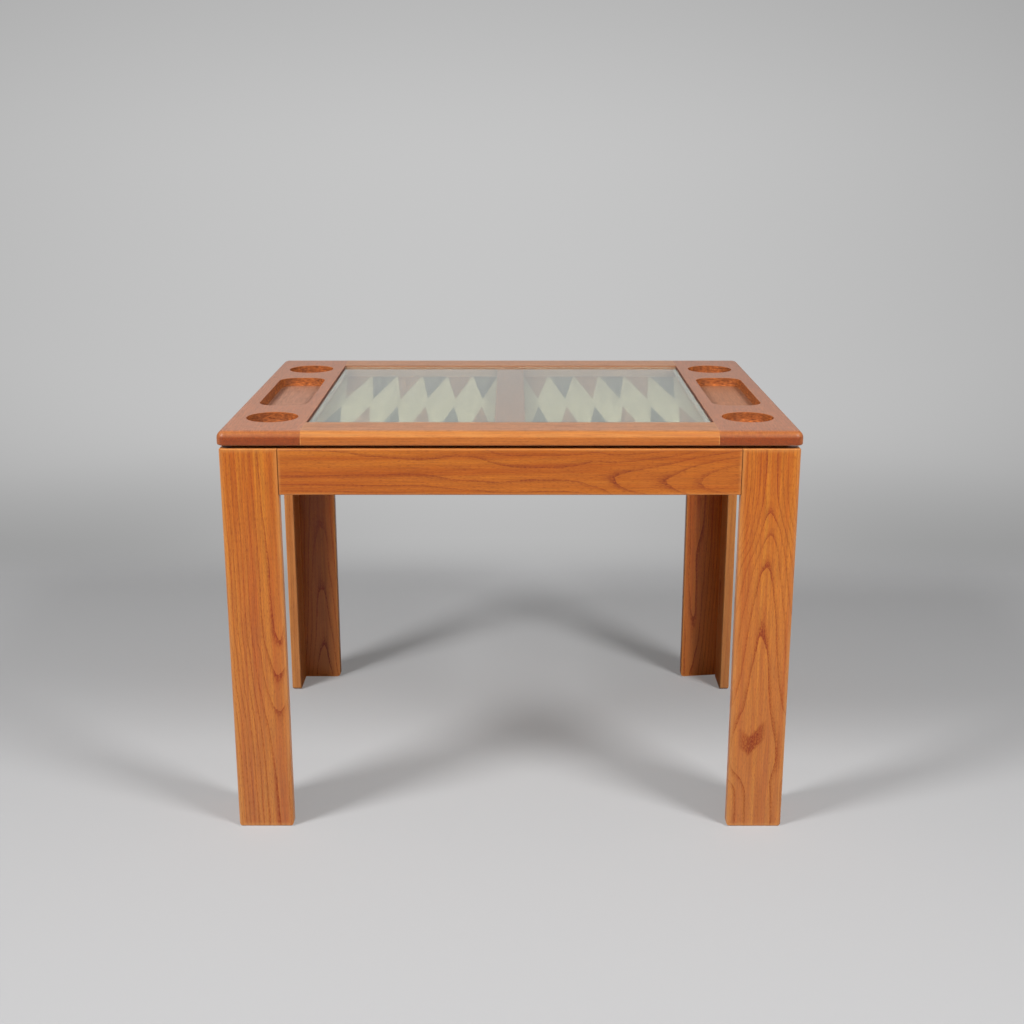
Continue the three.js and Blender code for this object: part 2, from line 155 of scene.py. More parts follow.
def paperMaterial():  # matt photo paper: near the table it takes shadows, lightened by a painted glow; further off it shows a painted glow, darker at the horizon, the sides and the top
    material, tree = newMaterial("studioPaper")
    parts = tablePlace(tree)
    path, mirrored, seen = showingRays(tree)
    aside = addNode(tree, "ShaderNodeMath", {"operation": "SUBTRACT"}, {0: parts["X"], 1: studio["paperMiddle"]})
    loss = addNode(tree, "ShaderNodeMath", {"operation": "POWER"}, {0: aside, 1: 2.0})
    level = addNode(tree, "ShaderNodeMath", {"operation": "MULTIPLY_ADD"},
                    {0: loss, 1: -studio["paperSideLoss"] * studio["paperShown"], 2: studio["paperShown"]})
    low, high, share = studio["paperCrown"]
    crown = addNode(tree, "ShaderNodeMapRange", {"interpolation_type": "SMOOTHSTEP"}, {
        "Value": parts["Z"], "From Min": low, "From Max": high, "To Min": 1.0, "To Max": share})
    reach = addNode(tree, "ShaderNodeMath", {"operation": "ABSOLUTE"}, {0: parts["X"]})
    middleShare, sideShare = studio["horizonShares"]
    dip = addNode(tree, "ShaderNodeMapRange", {"interpolation_type": "SMOOTHERSTEP"}, {
        "Value": reach, "From Max": studio["horizonAside"], "To Min": middleShare, "To Max": sideShare})
    low, high = studio["horizonRise"]
    rise = addNode(tree, "ShaderNodeMapRange", {"interpolation_type": "SMOOTHSTEP"}, {
        "Value": parts["Y"], "From Min": low, "From Max": high, "To Min": dip, "To Max": 1.0})
    for fade in (crown, rise):
        level = addNode(tree, "ShaderNodeMath", {"operation": "MULTIPLY"}, {0: level, 1: fade})
    paper = addNode(tree, "ShaderNodeMix", {"data_type": "RGBA"}, {
        "Factor": mirrored, 6: linearColour(studio["paperFill"]), 7: linearColour(studio["paperColour"])})
    matt = addNode(tree, "ShaderNodeBsdfDiffuse", links={"Color": paper.outputs[2]})
    glow = addNode(tree, "ShaderNodeEmission", links={"Strength": level})
    low, high = studio["paperFar"]
    far = addNode(tree, "ShaderNodeMapRange", {"interpolation_type": "SMOOTHSTEP"},
                  {"Value": parts["Y"], "From Min": low, "From Max": high})
    far = addNode(tree, "ShaderNodeMath", {"operation": "MULTIPLY"}, {0: seen, 1: far})
    near = addNode(tree, "ShaderNodeMath", {"operation": "MULTIPLY"},
                   {0: path["Is Camera Ray"], 1: studio["paperLift"]})
    even = addNode(tree, "ShaderNodeMath", {"operation": "MAXIMUM"}, {0: far, 1: near})
    mix = addNode(tree, "ShaderNodeMixShader", links={0: even, 1: matt, 2: glow})
    addNode(tree, "ShaderNodeOutputMaterial", links={0: mix})
    return material


def makeSweep():
    # a profile turned about the z axis: flat out to the floor radius, a quarter circle up, then a straight wall
    turn = np.linspace(0, math.pi / 2, studio["sweepSteps"])
    flat = np.array(studio["floorRings"])
    radius = np.concatenate([flat, studio["floorRadius"] + studio["sweepRadius"] * np.sin(turn)])
    height = np.concatenate([0 * flat, studio["sweepRadius"] * (1 - np.cos(turn))])
    radius = np.append(radius, radius[-1])
    height = np.append(height, studio["wallHeight"])
    angle = np.linspace(0, 2 * math.pi, studio["roundSteps"], endpoint=False)
    grid = np.stack([
        radius[:, None] * np.cos(angle),
        radius[:, None] * np.sin(angle),
        height[:, None] + 0 * angle,
    ], axis=-1)
    sweep = bpy.data.objects.new("studio_sweep", surfaceMesh("studio_sweep", grid))
    scene.collection.objects.link(sweep)
    sweep.data.materials.append(paperMaterial())


def makeLamps():
    for name, lamp in studio["lamps"].items():
        data = bpy.data.lights.new(name, "AREA")
        data.shape = "DISK"
        data.size = lamp["size"]
        data.energy = lamp["watts"]
        lampObject = bpy.data.objects.new(name, data)
        lampObject.location = lamp["place"]
        aim = Vector(studio["lampAim"]) - Vector(lamp["place"])
        lampObject.rotation_mode = "QUATERNION"
        lampObject.rotation_quaternion = aim.to_track_quat("-Z", "Y")
        scene.collection.objects.link(lampObject)


def makeDome():  # it lights the table evenly and faintly, and mirrors brighter behind the table
    world = bpy.data.worlds.new("dome")
    scene.world = world
    world.use_nodes = True
    tree = world.node_tree
    tree.nodes.clear()
    seen = showingRays(tree)[2]
    heading = addNode(tree, "ShaderNodeTexCoord")
    heading = addNode(tree, "ShaderNodeSeparateXYZ", links={0: heading.outputs["Generated"]})
    low, high = studio["domeTurn"]
    before, behind = studio["domeShown"]
    shown = addNode(tree, "ShaderNodeMapRange", {"interpolation_type": "SMOOTHSTEP"}, {
        "Value": heading.outputs["Y"], "From Min": low, "From Max": high, "To Min": before, "To Max": behind})
    level = addNode(tree, "ShaderNodeMapRange", links={
        "Value": seen, "To Min": studio["domeLight"], "To Max": shown})
    sky = addNode(tree, "ShaderNodeBackground",
                  links={"Color": linearColour(studio["domeColour"]), "Strength": level})
    addNode(tree, "ShaderNodeOutputWorld", links={0: sky})


print("studio")
makeSweep()
makeLamps()
makeDome()


# Smooth rounds: doubles merged, flats joined, faces smooth, edges over an angle sharp, flats kept flat

smoothing = {"mergeDistance": 0.00001, "flatAngle": 0.5, "sharpAngle": 32, "flatWeight": 60}
shape = {"Geometry": ("Geometry",)}  # the one socket on each side of a group that works on a mesh


def makeSmoother():
    tree = newGroup("smoothRounds", "GeometryNodeTree", shape, shape)
    start = addNode(tree, "NodeGroupInput")
    bend = addNode(tree, "GeometryNodeInputMeshEdgeAngle")
    soft = addNode(tree, "FunctionNodeCompare", {"data_type": "FLOAT", "operation": "LESS_THAN"},
                   {0: bend.outputs["Unsigned Angle"], 1: math.radians(smoothing["sharpAngle"])})
    faces = addNode(tree, "GeometryNodeSetShadeSmooth", {"domain": "FACE"}, {"Geometry": start})
    edges = addNode(tree, "GeometryNodeSetShadeSmooth", {"domain": "EDGE"},
                    {"Geometry": faces, "Shade Smooth": soft})
    addNode(tree, "NodeGroupOutput", links={0: edges})
    return tree


print("smoothing the rounds")
smoother = makeSmoother()
for name, cadNode in nodes.items():
    if name == "glass_pane":
        continue
    weld = cadNode.modifiers.new("oneSkin", "WELD")
    weld.merge_threshold = smoothing["mergeDistance"]
    joined = cadNode.modifiers.new("wholeFlats", "DECIMATE")
    joined.decimate_type = "DISSOLVE"
    joined.angle_limit = math.radians(smoothing["flatAngle"])
    cadNode.modifiers.new("smoothRounds", "NODES").node_group = smoother
    flats = cadNode.modifiers.new("flatFlats", "WEIGHTED_NORMAL")
    flats.keep_sharp = True
    flats.weight = smoothing["flatWeight"]


# Teak

# Teak is ring-porous: each year starts with a sharp dark line of wide pores that fades outwards.
# A board cut across the rings shows fine lines, and one cut beside them shows nested flames.
# Sawn, planed, sanded and lacquered satin: soft highlights, a warm orange brown, pores just felt.

# In each tone, the colour for faces that lie flat is a painted reflection of the pale studio, and the colour for
# edges and round-overs is partly wear and partly a painted highlight.
teakTones = {
    "leg": {"light": "ca7a21", "deep": "b0540d", "line": "882e06", "end": "804318", "wornsheen": "d28e48",
            "lyingsheen": "b06c38"},
    "apron": {"light": "bf6c1d", "deep": "a9520d", "line": "7e2f08", "end": "7c4017", "wornsheen": "c67f3c",
              "lyingsheen": "b06c38"},
    "rail": {"light": "be6e2c", "deep": "ae5c1f", "line": "8a471a", "end": "8a4a1e", "wornsheen": "dc9c50",
             "lyingsheen": "b97a47"},
    "panel": {"light": "ae6228", "deep": "984b1c", "line": "6f3616", "end": "823409", "wornsheen": "cc8440",
              "lyingsheen": "b4714a"},
    "bar": {"light": "855b44", "deep": "7a523c", "line": "63442f", "end": "63442f", "wornsheen": "855b44",
            "lyingsheen": "855b44"},
}
teakFigure = {
    "seedStep": (173, 319, 531),  # millimetres from one board's wood to the next in the log
    "driftCell": (75, 75, 330),  # how slowly the rings wander
    "yearLine": ((0.03, 1.0), (0.11, 0.74), (0.26, 0.28), (0.5, 0.06)),  # how dark it is, by share of a year
    "yearEnd": 0.10,
    "yearChance": 0.7,  # the faintest year's line, beside the strongest
    "heart": (4, 17, 1.5),  # millimetres beside the heart between which the lines are darker, and by how much
    "lyingSheenShare": 0.7,  # how much a face that lies flat takes its painted reflection colour
    "pores": 0.5,
    "edgeWearAndSheen": (1.0, 0.85),  # millimetres from an edge with the most wear and painted highlight, and how much
}
teakNoise = {  # cells in millimetres (across, down, along), detail, roughness, and from and to what range
    "wave": ((11, 11, 85), 2.0, 0.5, (0.0, 1.0), (-0.5, 0.5)),  # years that waver
    "dashes": ((2.0, 2.0, 4.5), 3.0, 0.6, (0.34, 0.66), (0.35, 1.2)),  # lines broken where pores are few
    "pores": ((1.0, 1.0, 8.0), 1.0, 0.5, (0.52, 0.70), (0.0, 1.0)),  # 0.3 mm in real wood, drawn 1 mm to show
    "streaks": ((9, 9, 420), 3.0, 0.6, (0.3, 0.7), (0.0, 1.0)),
    "mouths": ((2.4, 2.4, 40), 3.0, 0.6, (0.32, 0.68), (0.7, 1.35)),  # open fibres at the sawn ends
    "fibres": ((1.6, 1.6, 48), 2.0, 0.5, (0.3, 0.7), (0.86, 1.14)),  # the silky sheen of planed wood
    "coarse": ((2.6, 2.6, 18), 2.0, 0.5, (0.3, 0.7), (-0.2, 0.2)),
    "rubbedAndLit": ((6, 6, 60), 2.0, 0.5, (0.3, 0.7), (0.35, 0.75)),
    "blotches": ((7, 2.2, 6), 4.0, 0.65, (0.36, 0.7), (0.0, 1.0)),
    "oil": ((24, 24, 9), 2.0, 0.5, (0.36, 0.64), (0.8, 1.2)),
}
lacquer = {
    "roughness": 0.36, "lineRoughness": 0.10, "poreRoughness": 0.12,  # it sinks into the open pores
    "poreDepth": 0.7, "fibreHeight": 0.3, "bump": 0.35, "bumpDepth": 0.00015,
    "roundRoughness": 0.18, "hollowRoughness": 0.28, "hollowCoatLoss": 0.5,
    "thinCoat": 0.35, "coatRoughness": 0.28, "coatIor": 1.5, "ior": 1.45,
}


def makeTeakGroup():
    tree = newGroup("teakSurface", "ShaderNodeTree", {
        "Vector": ("Grain", "Middle", "Half"),
        "Float": ("Axis", "Count", "Crowding", "Depth", "Spacing", "Wander", "Ripple", "Seed", "Patch", "Figure",
                  "End Grain", "Facing Up", "Rounded", "Wear Sheen Reach", "Recess", "Hollow Shade"),
        "Color": ("Light", "Deep", "Line", "End", "Wornsheen", "Lyingsheen", "Hollow Deep", "Hollow Pale"),
    }, {"Color": ("Color",), "Float": ("Roughness", "Height", "Year Line")})
    start = addNode(tree, "NodeGroupInput").outputs
    shift = addNode(tree, "ShaderNodeCombineXYZ", links={0: start["Seed"], 1: start["Seed"], 2: start["Seed"]})
    shift = addNode(tree, "ShaderNodeVectorMath", {"operation": "MULTIPLY"}, {0: shift, 1: teakFigure["seedStep"]})
    seeded = addNode(tree, "ShaderNodeVectorMath", {"operation": "ADD"}, {0: start["Grain"], 1: shift})
    noise, level = {}, {}
    for name, (cell, detail, roughness, (low, high), (least, most)) in teakNoise.items():
        sized = addNode(tree, "ShaderNodeVectorMath", {"operation": "DIVIDE"}, {0: seeded, 1: cell})
        noise[name] = addNode(tree, "ShaderNodeTexNoise", links={
            "Vector": sized, "Scale": 1.0, "Detail": detail, "Roughness": roughness})
        level[name] = addNode(tree, "ShaderNodeMapRange", links={
            "Value": noise[name], "From Min": low, "From Max": high, "To Min": least, "To Max": most})

    # where this point lies about the heart of the tree
    drift = addNode(tree, "ShaderNodeVectorMath", {"operation": "DIVIDE"}, {0: seeded, 1: teakFigure["driftCell"]})
    drift = addNode(tree, "ShaderNodeTexNoise", links={"Vector": drift, "Scale": 1.0, "Detail": 2.0})
    drift = addNode(tree, "ShaderNodeVectorMath", {"operation": "SUBTRACT"},
                    {0: drift.outputs["Color"], 1: (0.5, 0.5, 0.5)})
    drift = addNode(tree, "ShaderNodeVectorMath", {"operation": "SCALE"}, {0: drift, "Scale": start["Wander"]})
    placed = addNode(tree, "ShaderNodeVectorMath", {"operation": "ADD"}, {0: start["Grain"], 1: drift})
    placed = addNode(tree, "ShaderNodeSeparateXYZ", links={0: placed}).outputs
    aside = addNode(tree, "ShaderNodeMath", {"operation": "SUBTRACT"}, {0: placed["X"], 1: start["Axis"]})
    below = addNode(tree, "ShaderNodeMath", {"operation": "SUBTRACT"}, {0: start["Depth"], 1: placed["Y"]})
    arm = addNode(tree, "ShaderNodeCombineXYZ", links={0: aside, 1: below})
    reach = addNode(tree, "ShaderNodeVectorMath", {"operation": "LENGTH"}, {0: arm}).outputs["Value"]
    reach = addNode(tree, "ShaderNodeMath", {"operation": "SUBTRACT"}, {0: reach, 1: start["Depth"]})
    reach = addNode(tree, "ShaderNodeMath", {"operation": "DIVIDE"}, {0: reach, 1: start["Spacing"]})
    years = addNode(tree, "ShaderNodeMath", {"operation": "MULTIPLY_ADD"},
                    {0: reach, 1: start["Crowding"], 2: start["Count"]})
    years = addNode(tree, "ShaderNodeMath", {"operation": "MULTIPLY_ADD"},
                    {0: level["wave"], 1: start["Ripple"], 2: years})
    phase = addNode(tree, "ShaderNodeMath", {"operation": "FRACT"}, {0: years})
    year = addNode(tree, "ShaderNodeMath", {"operation": "FLOOR"}, {0: years})
    year = addNode(tree, "ShaderNodeMath", {"operation": "ADD"}, {0: year, 1: start["Seed"]})
    chance = addNode(tree, "ShaderNodeTexWhiteNoise", {"noise_dimensions": "1D"}, {"W": year})

    # the dark line of a year, sharp on its inner side
    band = addNode(tree, "ShaderNodeValToRGB", links={"Fac": phase})
    stops = band.color_ramp.elements
    stops[0].color = (0.0, 0.0, 0.0, 1)
    stops[1].color = (teakFigure["yearEnd"],) * 3 + (1,)
    for place, dark in teakFigure["yearLine"]:
        stops.new(place).color = (dark, dark, dark, 1)
    strength = addNode(tree, "ShaderNodeMapRange", links={
        "Value": chance.outputs["Value"], "To Min": teakFigure["yearChance"], "To Max": 1.0})
    band = addNode(tree, "ShaderNodeMath", {"operation": "MULTIPLY"}, {0: band, 1: strength})
    band = addNode(tree, "ShaderNodeMath", {"operation": "MAXIMUM"}, {0: band, 1: start["Patch"]})
    off = addNode(tree, "ShaderNodeMath", {"operation": "ABSOLUTE"}, {0: aside})
    low, high, darker = teakFigure["heart"]
    tip = addNode(tree, "ShaderNodeMapRange", {"interpolation_type": "SMOOTHSTEP"}, {
        "Value": off, "From Min": low, "From Max": high, "To Min": darker, "To Max": 1.0})
    for share in (tip, level["dashes"]):
        band = addNode(tree, "ShaderNodeMath", {"operation": "MULTIPLY"}, {0: band, 1: share})
    band = addNode(tree, "ShaderNodeMath", {"operation": "MULTIPLY", "use_clamp": True},
                   {0: band, 1: start["Figure"]})

    # each colour lies over those before it by its own share
    # faces that lie flat take a painted reflection colour of the pale studio
    sheenShare = addNode(tree, "ShaderNodeMath", {"operation": "MULTIPLY"},
                     {0: start["Facing Up"], 1: teakFigure["lyingSheenShare"]})
    porous = addNode(tree, "ShaderNodeMath", {"operation": "MULTIPLY"}, {0: level["pores"], 1: teakFigure["pores"]})
    ended = addNode(tree, "ShaderNodeVectorMath", {"operation": "SCALE"}, {0: start["End"], "Scale": level["mouths"]})
    tone = start["Light"]
    for share, colour in ((level["streaks"], start["Deep"]), (sheenShare, start["Lyingsheen"]), (band, start["Line"]),
                          (porous, start["Line"]), (start["End Grain"], ended)):
        tone = addNode(tree, "ShaderNodeMix", {"data_type": "RGBA"},
                       {"Factor": share, 6: tone, 7: colour}).outputs[2]
    silk = addNode(tree, "ShaderNodeMath", {"operation": "MULTIPLY_ADD"},
                   {0: level["coarse"], 1: start["Facing Up"], 2: level["fibres"]})
    silked = addNode(tree, "ShaderNodeVectorMath", {"operation": "SCALE"}, {0: tone, "Scale": silk})

    # handling wears the finish lighter along the edges, and a painted highlight lightens them and the round-overs: a
    # point is near an edge where two faces are near
    span = addNode(tree, "ShaderNodeVectorMath", {"operation": "SUBTRACT"}, {0: start["Grain"], 1: start["Middle"]})
    span = addNode(tree, "ShaderNodeVectorMath", {"operation": "ABSOLUTE"}, {0: span})
    span = addNode(tree, "ShaderNodeVectorMath", {"operation": "SUBTRACT"}, {0: start["Half"], 1: span})
    span = addNode(tree, "ShaderNodeSeparateXYZ", links={0: span}).outputs
    nearest = addNode(tree, "ShaderNodeMath", {"operation": "MINIMUM"}, {0: span[0], 1: span[1]})
    farther = addNode(tree, "ShaderNodeMath", {"operation": "MAXIMUM"}, {0: span[0], 1: span[1]})
    second = addNode(tree, "ShaderNodeMath", {"operation": "MINIMUM"}, {0: farther, 1: span[2]})
    second = addNode(tree, "ShaderNodeMath", {"operation": "MAXIMUM"}, {0: nearest, 1: second})
    bare, most = teakFigure["edgeWearAndSheen"]
    edge = addNode(tree, "ShaderNodeMapRange", {"interpolation_type": "SMOOTHSTEP"}, {
        "Value": second, "From Min": bare, "From Max": start["Wear Sheen Reach"], "To Min": most, "To Max": 0.0})
    edge = addNode(tree, "ShaderNodeMath", {"operation": "MAXIMUM"}, {0: edge, 1: start["Rounded"]})
    rubbedAndLit = addNode(tree, "ShaderNodeMath", {"operation": "MULTIPLY"}, {0: edge, 1: level["rubbedAndLit"]})
    wornsheen = addNode(tree, "ShaderNodeMix", {"data_type": "RGBA"}, {"Factor": rubbedAndLit, 6: silked, 7: start["Wornsheen"]})

    # a turned or routed hollow crosses the fibres, and shows blotches where they stand
    # the hollows' level along X is a painted shade, darker towards one side
    broad = addNode(tree, "ShaderNodeMath", {"operation": "MULTIPLY"}, {0: level["oil"], 1: start["Hollow Shade"]})
    flecked = addNode(tree, "ShaderNodeMix", {"data_type": "RGBA"},
                      {"Factor": level["blotches"], 6: start["Hollow Deep"], 7: start["Hollow Pale"]})
    flecked = addNode(tree, "ShaderNodeVectorMath", {"operation": "SCALE"}, {0: flecked.outputs[2], "Scale": broad})
    hollowed = addNode(tree, "ShaderNodeMix", {"data_type": "RGBA"},
                       {"Factor": start["Recess"], 6: wornsheen.outputs[2], 7: flecked})

    rough = addNode(tree, "ShaderNodeMath", {"operation": "MULTIPLY_ADD"},
                    {0: band, 1: lacquer["lineRoughness"], 2: lacquer["roughness"]})
    rough = addNode(tree, "ShaderNodeMath", {"operation": "MULTIPLY_ADD"},
                    {0: level["pores"], 1: lacquer["poreRoughness"], 2: rough})
    high = addNode(tree, "ShaderNodeMath", {"operation": "MULTIPLY_ADD"},
                   {0: level["pores"], 1: -lacquer["poreDepth"], 2: lacquer["poreDepth"]})
    high = addNode(tree, "ShaderNodeMath", {"operation": "MULTIPLY_ADD"},
                   {0: noise["fibres"], 1: lacquer["fibreHeight"], 2: high})
    addNode(tree, "NodeGroupOutput", links={
        "Color": hollowed.outputs[2], "Roughness": rough, "Height": high, "Year Line": band})
    return tree


def valueAlong(tree, along, stops):  # a value that changes along a board, from stops of (place, value)
    if not isinstance(stops, (list, tuple)):
        return stops
    places = [place for place, value in stops]
    values = [value for place, value in stops]
    low, high = min(values), max(values)
    inside = addNode(tree, "ShaderNodeMapRange",
                     links={"Value": along, "From Min": places[0], "From Max": places[-1]})
    curve = addNode(tree, "ShaderNodeFloatCurve", links={"Value": inside})
    points = curve.mapping.curves[0].points
    for number, (place, value) in enumerate(stops):
        spot = ((place - places[0]) / (places[-1] - places[0]), (value - low) / (high - low))
        if number == 0:
            points[0].location = spot
        elif number == len(stops) - 1:
            points[-1].location = spot
        else:
            points.new(*spot)
    curve.mapping.update()
    return addNode(tree, "ShaderNodeMapRange", {"clamp": False}, {"Value": curve, "To Min": low, "To Max": high})


# A board's own directions: across its face, down into it, and along its grain
directions = {
    "legFront": ((1, 0, 0), (0, 1, 0), (0, 0, 1)),
    "legBack": ((1, 0, 0), (0, -1, 0), (0, 0, 1)),
    "legLeft": ((0, 1, 0), (1, 0, 0), (0, 0, 1)),
    "legRight": ((0, 1, 0), (-1, 0, 0), (0, 0, 1)),
    "apronFront": ((0, 0, 1), (0, 1, 0), (1, 0, 0)),
    "apronBack": ((0, 0, 1), (0, -1, 0), (1, 0, 0)),
    "apronLeft": ((0, 0, 1), (1, 0, 0), (0, 1, 0)),
    "apronRight": ((0, 0, 1), (-1, 0, 0), (0, 1, 0)),
    "topAlongX": ((0, 1, 0), (0, 0, -1), (1, 0, 0)),
    "topAlongY": ((1, 0, 0), (0, 0, -1), (0, 1, 0)),
}
# What a face counts as, by how much it faces a way: an end, one that lies flat, or one that leans
faceShares = {"end": (0.7, 0.97), "endMost": 0.8, "flat": (0.8, 0.98), "leaning": (0.12, 0.35)}


def grainPlace(tree, node, way):  # a point in millimetres across, into and along a board, and what its face is
    across, into, along = (Vector(d) for d in directions[way])
    low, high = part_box(node)
    face = Vector((0, 0, 0))
    for axis in range(3):
        if into[axis]:
            face[axis] = low[axis] if into[axis] > 0 else high[axis]
    proper = 1 if across.cross(into).dot(along) > 0 else -1  # a mapping turns, so a mirrored frame flips its depth
    turn = Matrix((across, into * proper, along)).transposed().to_euler()
    place = addNode(tree, "ShaderNodeTexCoord").outputs
    mapped = addNode(tree, "ShaderNodeMapping", {"vector_type": "TEXTURE"}, {
        "Vector": place["Object"], "Location": face, "Rotation": turn,
        "Scale": (millimetre, millimetre * proper, millimetre)})
    ends = [Vector((corner - face).dot(d) / millimetre for d in (across, into, along)) for corner in (low, high)]
    middle = (ends[0] + ends[1]) / 2
    half = Vector(abs(v) for v in ends[1] - middle)
    facing = addNode(tree, "ShaderNodeVectorMath", {"operation": "DOT_PRODUCT"}, {0: place["Normal"], 1: along})
    facing = addNode(tree, "ShaderNodeMath", {"operation": "ABSOLUTE"}, {0: facing.outputs["Value"]})
    tilt = addNode(tree, "ShaderNodeSeparateXYZ", links={0: place["Normal"]}).outputs["Z"]
    shares = []
    for value, name, most in ((facing, "end", faceShares["endMost"]), (tilt, "flat", 1.0), (tilt, "leaning", 1.0)):
        low, high = faceShares[name]
        shares.append(addNode(tree, "ShaderNodeMapRange", {"interpolation_type": "SMOOTHSTEP"}, {
            "Value": value, "From Min": low, "From Max": high, "To Max": most}))
    cut, up, leaning = shares
    rounded = addNode(tree, "ShaderNodeMath", {"operation": "SUBTRACT", "use_clamp": True}, {0: leaning, 1: up})
    return mapped, middle, half, cut, up, rounded


def floorLitFoot(tree, shade, height, line, floorLight):  # painted light from the floor: the boards grow paler towards it, less so on the year lines
    share = addNode(tree, "ShaderNodeMapRange", links={
        "Value": height, "From Max": floorLight["height"], "To Min": floorLight["share"], "To Max": 0.0})
    soft = addNode(tree, "ShaderNodeMath", {"operation": "MULTIPLY_ADD", "use_clamp": True},
                   {0: line, 1: -floorLight["lineKeeps"], 2: 1.0})
    share = addNode(tree, "ShaderNodeMath", {"operation": "MULTIPLY"}, {0: share, 1: soft})
    return addNode(tree, "ShaderNodeMix", {"data_type": "RGBA"}, {
        "Factor": share, 6: shade, 7: linearColour(floorLight["colour"])}).outputs[2]


def insideHollows(tree, hollows):  # how much a point lies under a hollow's rim, on its walls, and on a tray's bed
    parts = tablePlace(tree)
    inside = addNode(tree, "ShaderNodeMath", {"operation": "LESS_THAN"}, {0: parts["Z"], 1: hollows["rim"]})
    aside = {axis: addNode(tree, "ShaderNodeMath", {"operation": "ABSOLUTE"}, {0: parts[axis]}) for axis in "XY"}
    for axis, reach in zip("XY", hollows["reach"]):
        within = addNode(tree, "ShaderNodeMath", {"operation": "LESS_THAN"}, {0: aside[axis], 1: reach})
        inside = addNode(tree, "ShaderNodeMath", {"operation": "MULTIPLY"}, {0: inside, 1: within})
    bed = inside
    for value, limit in ((aside["Y"], hollows["trayReach"]), (parts["Z"], hollows["trayBed"])):
        within = addNode(tree, "ShaderNodeMath", {"operation": "LESS_THAN"}, {0: value, 1: limit})
        bed = addNode(tree, "ShaderNodeMath", {"operation": "MULTIPLY"}, {0: bed, 1: within})
    walls = addNode(tree, "ShaderNodeMath", {"operation": "SUBTRACT", "use_clamp": True}, {0: inside, 1: bed})
    # painted shade and bounced light at the walls' feet: the bed along two sides takes the hollows' colour
    for value, (low, high) in ((aside["X"], hollows["warmX"]), (parts["Y"], hollows["warmY"])):
        warm = addNode(tree, "ShaderNodeMapRange", {"interpolation_type": "SMOOTHSTEP"}, {
            "Value": value, "From Min": low, "From Max": high, "To Max": hollows["warmth"]})
        warm = addNode(tree, "ShaderNodeMath", {"operation": "MULTIPLY"}, {0: warm, 1: bed})
        walls = addNode(tree, "ShaderNodeMath", {"operation": "MAXIMUM"}, {0: walls, 1: warm})
    return inside, walls, bed


def hollowShade(tree, hollows):  # painted shade: the hollows grow darker towards one side along X
    (first, firstLevel), (last, lastLevel) = hollows["shade"]
    return addNode(tree, "ShaderNodeMapRange", links={
        "Value": tablePlace(tree)["X"], "From Min": first, "From Max": last,
        "To Min": firstLevel, "To Max": lastLevel})


def jointLine(tree, shade, along, middle, half, joint):  # the glue line at a board's ends, drawn 1 mm wide to show
    aside = addNode(tree, "ShaderNodeMath", {"operation": "SUBTRACT"}, {0: along, 1: middle})
    aside = addNode(tree, "ShaderNodeMath", {"operation": "ABSOLUTE"}, {0: aside})
    line = addNode(tree, "ShaderNodeMapRange", {"interpolation_type": "SMOOTHSTEP"}, {
        "Value": aside, "From Min": half - joint["starts"], "From Max": half - joint["full"],
        "To Max": joint["strength"]})
    return addNode(tree, "ShaderNodeMix", {"data_type": "RGBA"}, {
        "Factor": line, 6: shade, 7: linearColour(joint["colour"])}).outputs[2]


def shadedRebate(tree, shade, rebateShades):  # painted shade: the rebate's and the well's walls get darker, greyer colours, for the shade along the glass's edges
    parts = tablePlace(tree)
    for rebateShade in rebateShades:
        aside = addNode(tree, "ShaderNodeMath", {"operation": "ABSOLUTE"}, {0: parts[rebateShade["axis"]]})
        share = addNode(tree, "ShaderNodeMath", {"operation": "LESS_THAN"}, {0: aside, 1: rebateShade["within"]})
        for operation, height in (("GREATER_THAN", rebateShade["above"]), ("LESS_THAN", rebateShade["below"])):
            level = addNode(tree, "ShaderNodeMath", {"operation": operation}, {0: parts["Z"], 1: height})
            share = addNode(tree, "ShaderNodeMath", {"operation": "MULTIPLY"}, {0: share, 1: level})
        shade = addNode(tree, "ShaderNodeMix", {"data_type": "RGBA"}, {
            "Factor": share, 6: shade, 7: linearColour(rebateShade["colour"])}).outputs[2]
    return shade


def flamePatch(tree, parts, patch):  # a dark heart in the figure: a V of spread width about a point of the board
    lean = addNode(tree, "ShaderNodeMath", {"operation": "SUBTRACT"}, {0: parts["X"], 1: patch["across"]})
    aside = addNode(tree, "ShaderNodeMath", {"operation": "ABSOLUTE"}, {0: lean})
    rise = addNode(tree, "ShaderNodeMath", {"operation": "MULTIPLY_ADD"},
                   {0: aside, 1: patch["slope"], 2: patch["along"]})
    rise = addNode(tree, "ShaderNodeMath", {"operation": "MULTIPLY_ADD"}, {0: lean, 1: patch["tilt"], 2: rise})
    shares = []
    for value, middle, (low, high) in ((parts["Z"], rise, patch["thick"]), (lean, patch["middle"], patch["wide"])):
        off = addNode(tree, "ShaderNodeMath", {"operation": "SUBTRACT"}, {0: value, 1: middle})
        off = addNode(tree, "ShaderNodeMath", {"operation": "ABSOLUTE"}, {0: off})
        shares.append(addNode(tree, "ShaderNodeMapRange", {"interpolation_type": "SMOOTHSTEP"}, {
            "Value": off, "From Min": low, "From Max": high, "To Min": 1.0, "To Max": 0.0}))
    share = addNode(tree, "ShaderNodeMath", {"operation": "MULTIPLY"}, {0: shares[0], 1: shares[1]})
    return addNode(tree, "ShaderNodeMath", {"operation": "MULTIPLY"}, {0: share, 1: patch["strength"]})


teakGroup = makeTeakGroup()


